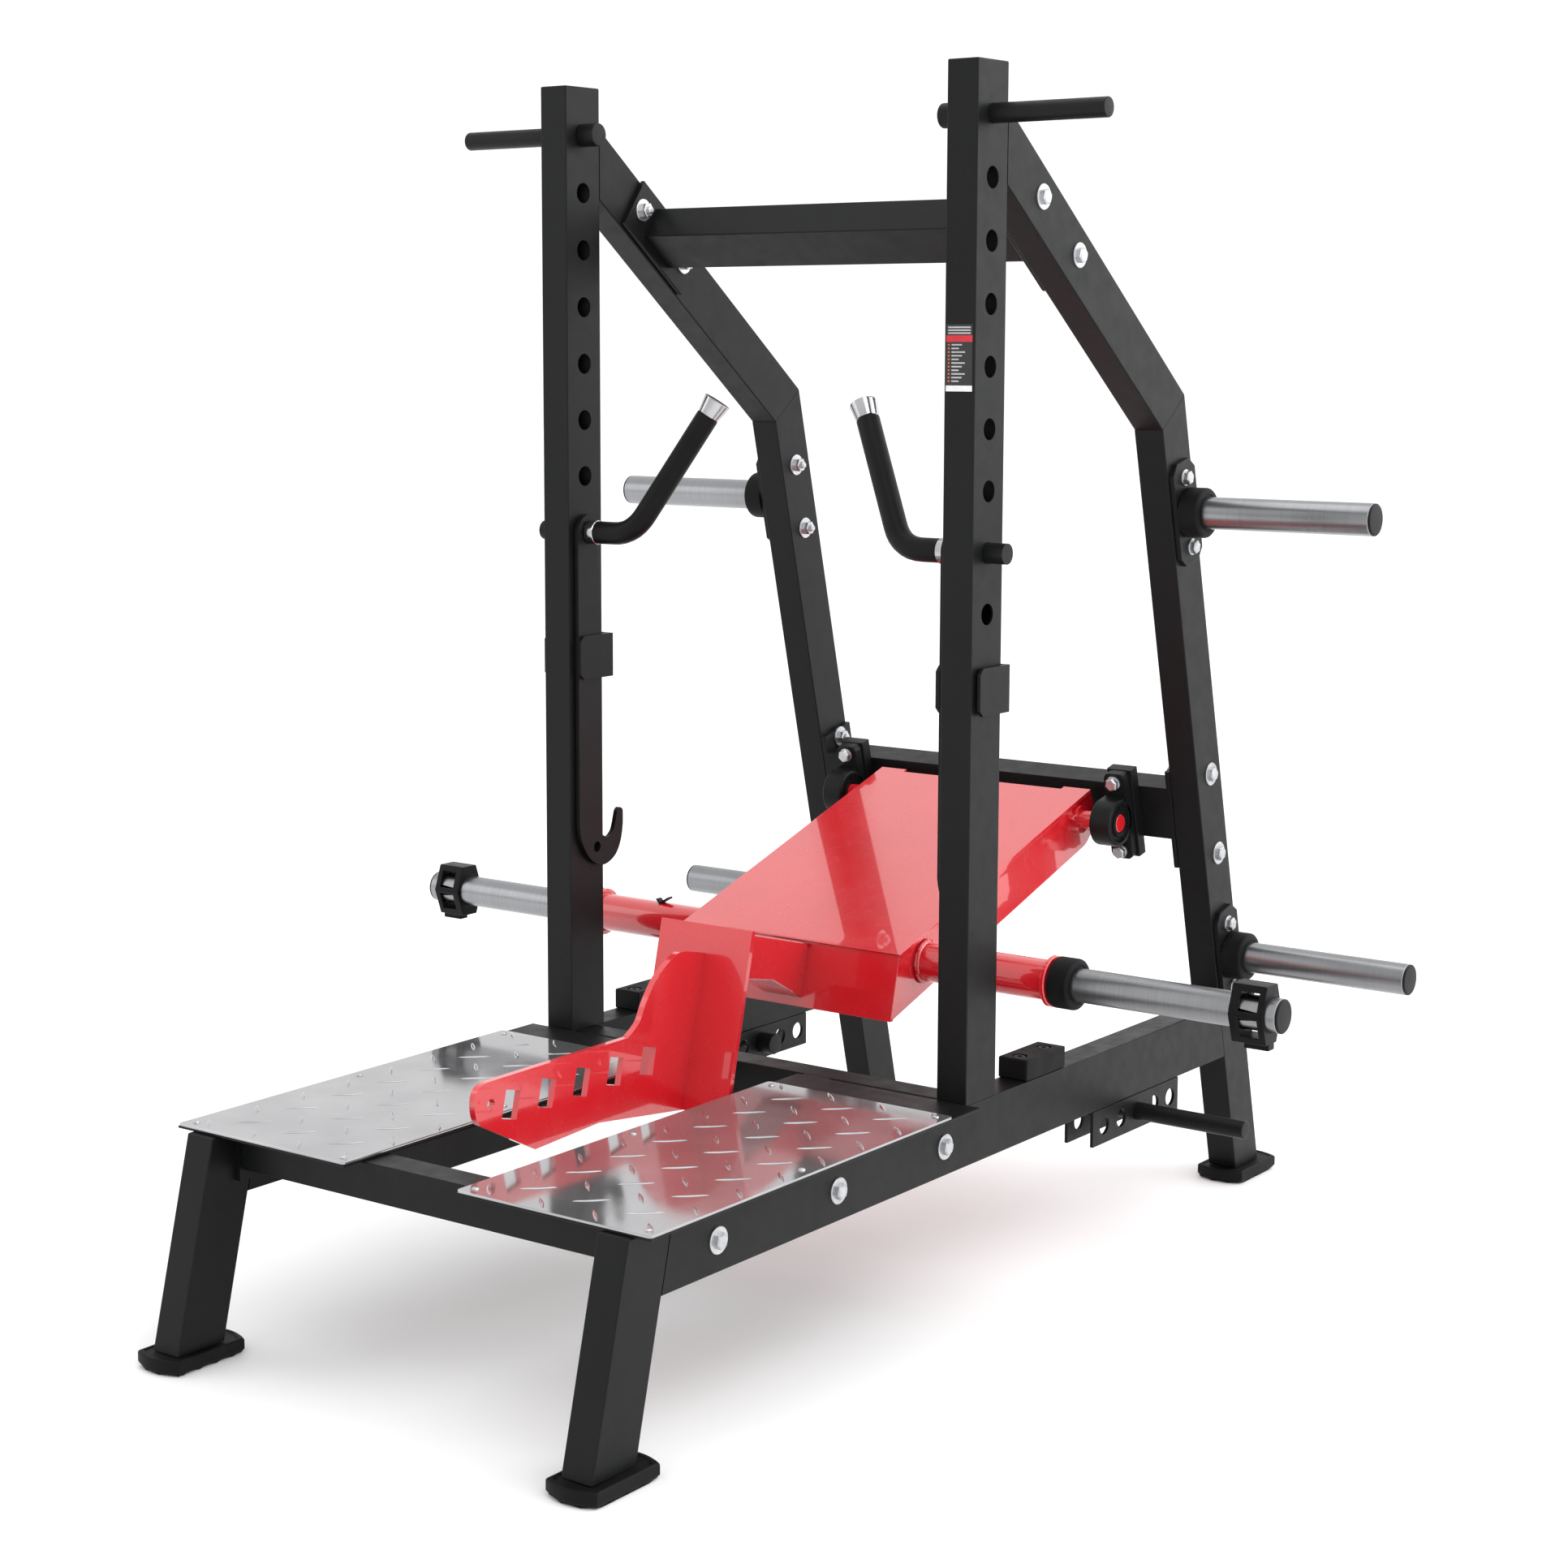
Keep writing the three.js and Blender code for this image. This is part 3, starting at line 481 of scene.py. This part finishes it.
def frame_tubes():
    for side, _ in SIDES:
        for name in TUBES:
            refine(f"{side}_{name}", BLACK, 2, 2, least_area=1500)
        refine(f"{side}_platform_bearer", BLACK, 2, 2, least_area=1500)
        refine(f"{side}_platform_base", BLACK, 0.8, 2)
        refine(f"{side}_band_bracket", BLACK, 0.9, 2)
        refine(f"{side}_stop_block", RUBBER, 2.5, 3, least_area=500)
    for name in ("front_cross_tube", "middle_cross_tube", "top_cross_tube", "rear_beam"):
        refine(name, BLACK, 2, 2, least_area=1100)


def pegs():
    """Pegs pushed through the frame from inside: a rounded bar with a wider head against the inner face."""
    radius, head = PEG["radius"], PEG["head"]
    for side, sign in SIDES:
        for kind in ("top_peg", "band_peg"):
            node = f"{side}_{kind}"
            low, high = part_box(node)
            inner, outer = sorted((abs(low.x) / MM, abs(high.x) / MM))
            shoulder = SIDE_INNER - GAP
            axis = Vector((0, (low.y + high.y) / 2, (low.z + high.z) / 2))
            bm = bmesh.new()
            turned(bm, aim(axis, (sign, 0, 0)), [
                (inner, 0), (inner, head - 1.5), (inner + 0.5, head - 0.5), (inner + 1.5, head),
                (shoulder - 1.5, head), (shoulder, head - 1.5), (shoulder, radius), (outer - 1.5, radius),
                (outer - 0.5, radius - 0.5), (outer, radius - 1.5), (outer, 0)], closed=False)
            piece(f"{node}_finished", bm, BLACK, body_of(node), [node])


def lozenge(bm, x, y, z, angle):
    """One raised tread: a long pointed dome."""
    half, wide, high = TREAD["length"] / 2, TREAD["width"] / 2, TREAD["height"]
    steps = 10
    turn = Matrix.Translation(Vector((x, y, z))) @ Matrix.Rotation(angle, 4, "Z")
    rows = []
    for share, rise in ((1.0, 0.0), (0.8, 0.55), (0.5, 0.88), (0.18, 1.0)):
        row = []
        for i in range(2 * steps):
            t = math.pi * i / steps
            along = half * math.cos(t)
            across = wide * math.copysign(1 - (along / half) ** 2, math.sin(t))
            place = Vector((along * (0.25 + 0.75 * share), across * share, high * rise)) * MM
            row.append(bm.verts.new(turn @ place))
        rows.append(row)
    for a, b in zip(rows, rows[1:]):
        for i in range(2 * steps):
            j = (i + 1) % (2 * steps)
            bm.faces.new((a[i], a[j], b[j], b[i]))
    bm.faces.new(rows[-1])


def tread_plates():
    for side, _ in SIDES:
        node = f"{side}_tread_plate"
        low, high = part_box(node)
        size = (high - low) / MM
        middle = (low + high) / 2
        bm = bmesh.new()
        place = Matrix.Translation(Vector((middle.x, middle.y, low.z)))
        prism(bm, place, rounded_rectangle(size.x, size.y, 6), 0, size.z, chamfer=0.6)
        columns, rows = (int((size[k] - TREAD["first"][k]) // TREAD["pitch"][k]) + 1 for k in (0, 1))
        for i in range(columns):
            for j in range(i % 2, rows, 2):
                x, y = (low[k] + (TREAD["first"][k] + n * TREAD["pitch"][k]) * MM for k, n in ((0, i), (1, j)))
                lozenge(bm, x, y, high.z - 0.02 * MM, math.radians(45 if i % 2 else -45))
        piece(f"{side}_tread_plate_finished", bm, TREAD_STEEL, "frame", [node], 30)
        screws = bmesh.new()
        inset = TREAD["screw_inset"] * MM
        for x in (low.x + inset, high.x - inset):
            for y in (low.y + inset, middle.y, high.y - inset):
                pan_screw(screws, Vector((x, y, high.z + 0.3 * MM)), (0, 0, 1))
        piece(f"{side}_tread_screws", screws, ZINC, "frame")


def foot_outline(front, rear, inset):
    """The foot's outline: straight sides and bowed ends."""
    x0, x1 = FOOT["x"][0] + inset, FOOT["x"][1] - inset
    steps = 16
    outline = []
    for start, end, y, way in ((x0, x1, front + inset, -1), (x1, x0, rear - inset, 1)):
        for i in range(steps + 1):
            t = i / steps
            outline.append((start + (end - start) * t, y + way * FOOT["bulge"] * 4 * t * (1 - t)))
        if way < 0:
            outline += [(x1, y + (rear - front) * s / 24) for s in range(1, 24)]
    outline += [(x0, rear - (rear - front) * s / 24) for s in range(1, 24)]
    return outline


def feet():
    for side, sign in SIDES:
        for end, (front, rear) in FEET.items():
            bm = bmesh.new()
            height = FOOT["height"]
            levels = [                  # (inset of the outline, height)
                (3, 0.0), (1.2, 5.0), (0.4, 5.6), (0, 6.6), (0, height - 3), (0.6, height - 1.2),
                (2, height), (5.5, height), (6.5, height - 1.4), (10, height - 1.4)]
            rings = []
            for inset, z in levels:
                ring = []
                for i, (x, y) in enumerate(foot_outline(front, rear, inset)):
                    scallop = FOOT["scallop"] * abs(math.sin(math.pi * i / 6)) if z == 0.0 else 0
                    ring.append(bm.verts.new(at(sign * x, y, z + scallop)))
                rings.append(ring)
            for a, b in zip(rings, rings[1:]):
                for i in range(len(a)):
                    j = (i + 1) % len(a)
                    bm.faces.new((a[i], a[j], b[j], b[i]))
            bm.faces.new(rings[0])
            bm.faces.new(rings[-1])
            piece(f"{side}_{end}_foot_finished", bm, RUBBER, "frame", [f"{side}_{end}_foot"])


def horns():
    width, length, thick = HORN["plate"]
    for side, sign in SIDES:
        out = Vector((sign, 0, 0))
        for name, down in HORNS.items():
            base = SIDE_OUTER + GAP
            face = leg_place(sign * base, down)
            down_axis = Vector((0, *LEG_DOWN))
            axes = Matrix((down_axis.cross(out), down_axis, out)).transposed().to_4x4()
            matrix = Matrix.Translation(face) @ axes
            half_w, half_l, cut = width / 2, length / 2, 16
            outline = [
                (half_w, half_l - cut), (half_w - cut, half_l), (cut - half_w, half_l), (-half_w, half_l - cut),
                (-half_w, cut - half_l), (cut - half_w, -half_l), (half_w - cut, -half_l), (half_w, cut - half_l)]
            plate = bmesh.new()
            prism(plate, matrix, outline, 0, thick, chamfer=1)
            piece(f"{side}_{name}_horn_plate", plate, BLACK, "frame", [f"{side}_{name}_horn"])
            sleeve_piece(f"{side}_{name}_horn", aim(face, out), thick, HORN["end"] - base, "frame")
            bumper_piece(
                f"{side}_{name}_horn_bumper", aim(face, out), [x - base for x in HORN["bumper"]],
                HORN["bumper_radius"], "frame")


def sleeve_piece(name, matrix, start, end, body, nodes=()):
    """A steel weight sleeve with a chamfered rim and a black end plug."""
    radius = HORN["radius"]
    bm = bmesh.new()
    turned(bm, matrix, [
        (start, radius - 4), (start, radius), (end - 4.5, radius), (end - 3, radius - 1.2),
        (end - 3, radius - 4)], 64)
    piece(f"{name}_sleeve", bm, STEEL, body, nodes)
    plug = bmesh.new()
    turned(plug, matrix, [
        (end - 14, 0), (end - 14, radius - 4.2), (end - 3.2, radius - 4.2), (end - 3.2, radius - 0.6),
        (end - 1.6, radius - 0.4), (end - 0.5, radius - 1.4), (end, radius - 3.5), (end, 0)], 64, closed=False)
    piece(f"{name}_end_plug", plug, PLASTIC, body)


def bumper_piece(node, matrix, span, radius, body):
    """A thick rubber ring with rounded rims and a small chamfered step round its bore at the far end."""
    start, end = span
    inner = HORN["radius"] + GAP
    bm = bmesh.new()
    turned(bm, matrix, [
        (start, inner), (start, radius - 2), (start + 0.6, radius - 0.6), (start + 2, radius),
        (end - 5, radius), (end - 2.4, radius - 0.7), (end - 0.8, radius - 2.2), (end, radius - 5),
        (end, inner + 4), (end - 1.5, inner + 2.6), (end - 1.5, inner)], 64)
    piece(f"{node}_finished", bm, RUBBER, body, [node])


def pillow_blocks():
    """Cast bearing housings on the beam's pads, each with its insert and two bolts."""
    ny, nz = LEG_AXIS[1]
    length, thick, width = PILLOW["base"]
    face = PILLOW["centre_height"] - GAP
    for side, sign in SIDES:
        centre_x = sign * sum(PILLOW["x"]) / 2
        centre = at(centre_x, *PIVOT)
        rear = Vector((0, ny, nz))
        down = Vector((0, *LEG_DOWN))
        out = Vector((sign, 0, 0))
        base_axes = Matrix((down, out, rear)).transposed().to_4x4()
        base_place = Matrix.Translation(centre) @ base_axes
        bm = bmesh.new()
        prism(bm, base_place, rounded_rectangle(length, width, 9), face - thick, face, chamfer_low=1.5)
        neck = [(-37, -17), (37, -17), (37, 17), (-37, 17)]
        prism(bm, base_place, neck, 4, face - thick + 1)
        half = (PILLOW["x"][1] - PILLOW["x"][0]) / 2
        radius = PILLOW["radius"]
        turned(bm, aim(centre, out), [
            (-half, 31), (-half, radius - 3), (1.5 - half, radius - 1), (4 - half, radius),
            (half - 4, radius), (half - 1.5, radius - 1), (half, radius - 3), (half, 31),
            (half - 2.5, 30), (2.5 - half, 30)], 64)
        for end in (-1, 1):
            boss = base_place @ Matrix.Translation(Vector((end * PILLOW["bolt"], 0, face - thick)) * MM)
            turned(bm, boss, [(2, 13.5), (-1.4, 13.5), (-2.2, 12.7), (-2.2, 8.5), (2, 8.5)], 32)
        piece(f"{side}_pillow_housing", bm, BLACK, "frame", [f"{side}_pillow_block"])
        insert = bmesh.new()
        for way in (-1, 1):
            turned(insert, aim(centre, out * way), [
                (4, 15.6), (4, 29.8), (half - 3.4, 29.8), (half - 3.4, 22), (half - 0.5, 21.4),
                (half - 0.2, 15.6)], 48)
        piece(f"{side}_bearing_insert", insert, BLACK, "frame")
        bolts = bmesh.new()
        for end in (-1, 1):
            place = base_place @ (Vector((end * PILLOW["bolt"], 0, face - thick - 2)) * MM)
            hex_bolt(bolts, place, -rear, **PILLOW_BOLT)
        piece(f"{side}_pillow_bolts", bolts, ZINC, "frame")


def stop_screws():
    for side, sign in SIDES:
        bm = bmesh.new()
        for x, y in STOP_SCREWS:
            matrix = aim(at(sign * x, y, DECK_TOP + STOP_SCREW_HEIGHT), (0, 0, 1))
            turned(bm, matrix, [
                (-4, 0), (-4, 9), (6.4, 9), (7.4, 8), (7.4, 4.4), (3, 4.4), (3, 0)], 24, closed=False)
        piece(f"{side}_stop_screws", bm, BLACK, "frame")


# ---- Lever ----

def lever():
    refine("lever_shell", RED, 2.2, 3, least_area=200)
    refine("arm_box", RED, 2.5, 3, least_area=700)
    refine("belt_bracket", RED, 1.6, 3)
    node = "pivot_shaft"
    bm = bmesh.new()
    radius, end = SHAFT["radius"], SHAFT["end"]
    turned(bm, aim(at(0, *PIVOT), (1, 0, 0)), [
        (-end, 0), (-end, radius - 1.5), (1.5 - end, radius), (end - 1.5, radius), (end, radius - 1.5),
        (end, 0)], 48, closed=False)
    piece(f"{node}_finished", bm, RED, "lever", [node])
    cross_tube()
    tube_clip()
    for side, sign in SIDES:
        matrix = aim(at(0, *TUBE_AXIS), (sign, 0, 0))
        sleeve_piece(f"{side}_weight", matrix, SLEEVE["start"], SLEEVE["end"], "lever", [f"{side}_weight_sleeve"])
        bumper_piece(f"{side}_sleeve_bumper", matrix, SLEEVE["bumper"], SLEEVE["bumper_radius"], "lever")


def tube_clip():
    """A small bent clip that stands on top of the red tube, on its left part."""
    top = at(CLIP_X, TUBE_AXIS[0] - 4, TUBE_AXIS[1] + TUBE["radius"])
    place = Matrix.Translation(top) @ Matrix.Rotation(math.pi / 2, 4, "X")
    bm = bmesh.new()
    for wing in ([(-11, 7), (-13, 6), (-6, -2), (-3.5, 0.5)], [(-6, -2), (13, 9), (12, 11.5), (-5, 1.5)]):
        prism(bm, place, wing, -6, 6, chamfer=0.4, chamfer_low=0.4)
    piece("tube_clip", bm, BLACK, "lever")


def cross_tube():
    """The red tube: its flanges have rounded rims, and a weld bead runs round it at each side plate."""
    bm = bmesh.new()
    radius, bore, flange, flange_x, end = (TUBE[key] for key in ("radius", "bore", "flange", "flange_x", "end"))
    half = [(9, radius), (flange_x - 4, radius), (flange_x - 1, radius + 0.8), (flange_x, radius + 3),
            (flange_x, flange - 1.5), (flange_x + 1.5, flange), (end - 1.5, flange), (end, flange - 1.5),
            (end, bore)]
    profile = [(-x, r) for x, r in reversed(half)] + half
    turned(bm, aim(at(0, *TUBE_AXIS), (1, 0, 0)), profile, 64)
    piece("lever_cross_tube_finished", bm, RED, "lever", ["lever_cross_tube"])
    weld = bmesh.new()
    for _, sign in SIDES:
        bead(weld, aim(at(sign * TUBE["weld_x"], *TUBE_AXIS), (sign, 0, 0)), radius)
    piece("cross_tube_welds", weld, RED, "lever")


def bead(bm, matrix, radius, size=4.0):
    """A rippled fillet weld round a tube where it meets a plate."""
    sides = 96
    rings = []
    for along, out in ((0, size), (size * 0.45, size * 0.72), (size * 0.8, size * 0.35), (size, 0), (0, -0.5)):
        ring = []
        for i in range(sides):
            angle = 2 * math.pi * i / sides
            ripple = 1 + 0.08 * math.sin(angle * 32)
            distance = radius + out * ripple
            place = Vector((distance * math.cos(angle), distance * math.sin(angle), along * ripple)) * MM
            ring.append(bm.verts.new(matrix @ place))
        rings.append(ring)
    for a, b in zip(rings, rings[1:] + rings[:1]):
        for i in range(sides):
            j = (i + 1) % sides
            bm.faces.new((a[i], a[j], b[j], b[i]))


def lock_collars():
    """Six-sided jaw collars, with a thin lip round the bore of each end face."""
    for side, sign in SIDES:
        node = f"{side}_lock_collar"
        refine(node, PLASTIC, 1.6, 2)
        low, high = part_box(node)
        inner, outer = sorted((abs(low.x) / MM, abs(high.x) / MM))
        bm = bmesh.new()
        for start, end in ((inner - 0.8, inner + 3), (outer - 3, outer + 0.8)):
            turned(bm, aim(at(0, *TUBE_AXIS), (sign, 0, 0)), [
                (start, 25.5), (start, 27.4), (start + 0.6, 28), (end - 0.6, 28), (end, 27.4), (end, 25.5)], 48)
        piece(f"{side}_collar_lips", bm, PLASTIC, f"{side}_collar")


# ---- Hooks ----

def hooks():
    for side, sign in SIDES:
        body = f"{side}_hook"
        refine(f"{side}_hook_arm", BLACK, 1.4, 3, least_area=60)
        handle_cap(side, sign)
        refine(f"{side}_handle_grip", GRIP, 1.5, 2)
        ring = bmesh.new()
        turned(ring, aim(at(sign * GRIP_START, *HOOK_AXLE), (sign, 0, 0)), [
            (0.5, 12), (0.5, 17.8), (1.5, 18.8), (16.2, 18.8), (17.4, 17.8), (17.4, 12)], 48)
        piece(f"{side}_grip_ring", ring, CHROME, body)


def handle_cap(side, sign):
    """A flared chrome cone on the end of the grip, with rounded rims."""
    end, bend = (Vector((sign * x, y, z)) for x, y, z in (GRIP_END, GRIP_BEND))
    bm = bmesh.new()
    turned(bm, aim(at(*end), end - bend), [
        (0.3, 0), (0.3, 16), (1.3, 17.1), (25.5, 21.2), (26.7, 21.2), (27.3, 20.4), (27.3, 0)], 64, closed=False)
    piece(f"{side}_handle_cap_finished", bm, CHROME, f"{side}_hook", [f"{side}_handle_cap"])


# ---- Label ----

def label():
    """A plain generic sticker on the right upright: coloured bands and rows of small blocks, with no words."""
    x0, x1 = LABEL["x"]
    z0, z1 = LABEL["z"]
    sheets = {
        "label_back": ((0.01, 0.01, 0.011), [(x0, x1, z0, z1)], 0.25),
        "label_band": ((0.55, 0.01, 0.02), [(x0, x1, z1 - 24, z1 - 15)], 0.3),
        "label_foot": ((0.75, 0.75, 0.76), [(x0, x1, z0, z0 + 8)], 0.3),
        "label_rows": ((0.42, 0.42, 0.43), [
            (x0 + 9, x0 + 9 + 12 + 5 * (i % 3), z0 + 13 + 5 * i, z0 + 15 + 5 * i) for i in range(11)] + [
            (x0 + 3, x1 - 3, z1 - 5 - 4 * i, z1 - 3 - 4 * i) for i in range(3)], 0.35),
        "label_marks": ((0.6, 0.12, 0.02), [
            (x0 + 3, x0 + 6, z0 + 13 + 5 * i, z0 + 15 + 5 * i) for i in range(11)], 0.35),
    }
    for name, (colour, rectangles, lift) in sheets.items():
        mat, n = material(f"{name}_vinyl")
        grain = n.noise(60, 3)
        darker = tuple(c * 0.8 for c in colour)
        n.colour(n.mix(n.ramp(grain, 0.3, 0.7, 0, 1), darker, colour))
        n.roughness(n.ramp(grain, 0.3, 0.7, 0.3, 0.42))
        n.bump(n.noise(400, 2), 0.00003, 0.3)
        bm = bmesh.new()
        for a, b, c, d in rectangles:
            front = Matrix.Translation(at((a + b) / 2, -0.05, (c + d) / 2)) @ Matrix.Rotation(math.pi / 2, 4, "X")
            prism(bm, front, rounded_rectangle(b - a, d - c, 0.4, 2), 0, lift)
        piece(name, bm, mat, "frame")


# ---- Stage ----

CAMERA = {
    "place": (2516.62, -3384.7, 1402.99), "yaw": 37.19, "pitch": -7.92, "lens": 65.76, "shift": (0.0418, -0.0311)}
LIGHT_TARGET = (0, 0, 0.8)
LIGHTS = {                              # place and size in metres, and power in watts
    "key": ((3.2, -2.6, 4.2), (2.4, 2.4), 50),
    "fill": ((-4.0, -2.5, 2.6), (2.5, 3), 22),
    "top": ((0, 0.3, 4.6), (3.2, 3.2), 35),
    "rim": ((4.4, 2.2, 3.4), (3, 2), 50)}
WORLD = {"towards": (0.78, 0.62, 0.1), "strength": (1.1, 2.6), "from": 0.3}


def area_light(name, place, size, power):
    data = bpy.data.lights.new(name, "AREA")
    data.shape = "RECTANGLE"
    data.size, data.size_y = size
    data.energy = power
    lamp = bpy.data.objects.new(name, data)
    bpy.context.scene.collection.objects.link(lamp)
    lamp.location = place
    lamp.rotation_euler = (Vector(LIGHT_TARGET) - Vector(place)).to_track_quat("-Z", "Y").to_euler()


def studio_world():
    """White all round, and brighter towards the machine's right rear, as from a large diffuser there."""
    world = bpy.data.worlds.new("studio")
    world.use_nodes = True
    tree = world.node_tree
    background = tree.nodes["Background"]
    background.inputs["Color"].default_value = (1, 1, 1, 1)
    place = tree.nodes.new("ShaderNodeTexCoord")
    towards = tree.nodes.new("ShaderNodeVectorMath")
    towards.operation = "DOT_PRODUCT"
    towards.inputs[1].default_value = WORLD["towards"]
    tree.links.new(place.outputs["Generated"], towards.inputs[0])
    strength = tree.nodes.new("ShaderNodeMapRange")
    low, high = WORLD["strength"]
    for socket, number in (("From Min", WORLD["from"]), ("From Max", 1.0), ("To Min", low), ("To Max", high)):
        strength.inputs[socket].default_value = number
    tree.links.new(towards.outputs["Value"], strength.inputs["Value"])
    tree.links.new(strength.outputs["Result"], background.inputs["Strength"])
    bpy.context.scene.world = world


def stage():
    floor = bpy.data.meshes.new("studio_floor")
    reach = 30
    floor.from_pydata([(-reach, -reach, 0), (reach, -reach, 0), (reach, reach, 0), (-reach, reach, 0)], [],
                      [(0, 1, 2, 3)])
    mat, n = material("pale_floor")
    n.colour(n.mix(n.noise(0.6, 2), (0.9, 0.9, 0.9), (0.93, 0.93, 0.93)))
    n.roughness(n.ramp(n.noise(2, 2), 0.3, 0.7, 0.65, 0.75))
    floor.materials.append(mat)
    ground = bpy.data.objects.new("studio_floor", floor)
    bpy.context.scene.collection.objects.link(ground)
    ground.location.z = -0.0005

    studio_world()
    for name, (place, size, power) in LIGHTS.items():
        area_light(name, place, size, power)

    data = bpy.data.cameras.new("camera")
    data.sensor_width = 36
    data.lens = CAMERA["lens"]
    data.shift_x, data.shift_y = CAMERA["shift"]
    camera = bpy.data.objects.new("camera", data)
    bpy.context.scene.collection.objects.link(camera)
    camera.location = at(*CAMERA["place"])
    camera.rotation_euler = (math.radians(90 + CAMERA["pitch"]), 0, math.radians(CAMERA["yaw"]))
    bpy.context.scene.camera = camera
    bpy.context.scene.view_settings.view_transform = "Standard"


stage()
frame_tubes()
pegs()
tread_plates()
feet()
horns()
pillow_blocks()
side_fasteners()
stop_screws()
lever()
lock_collars()
hooks()
label()
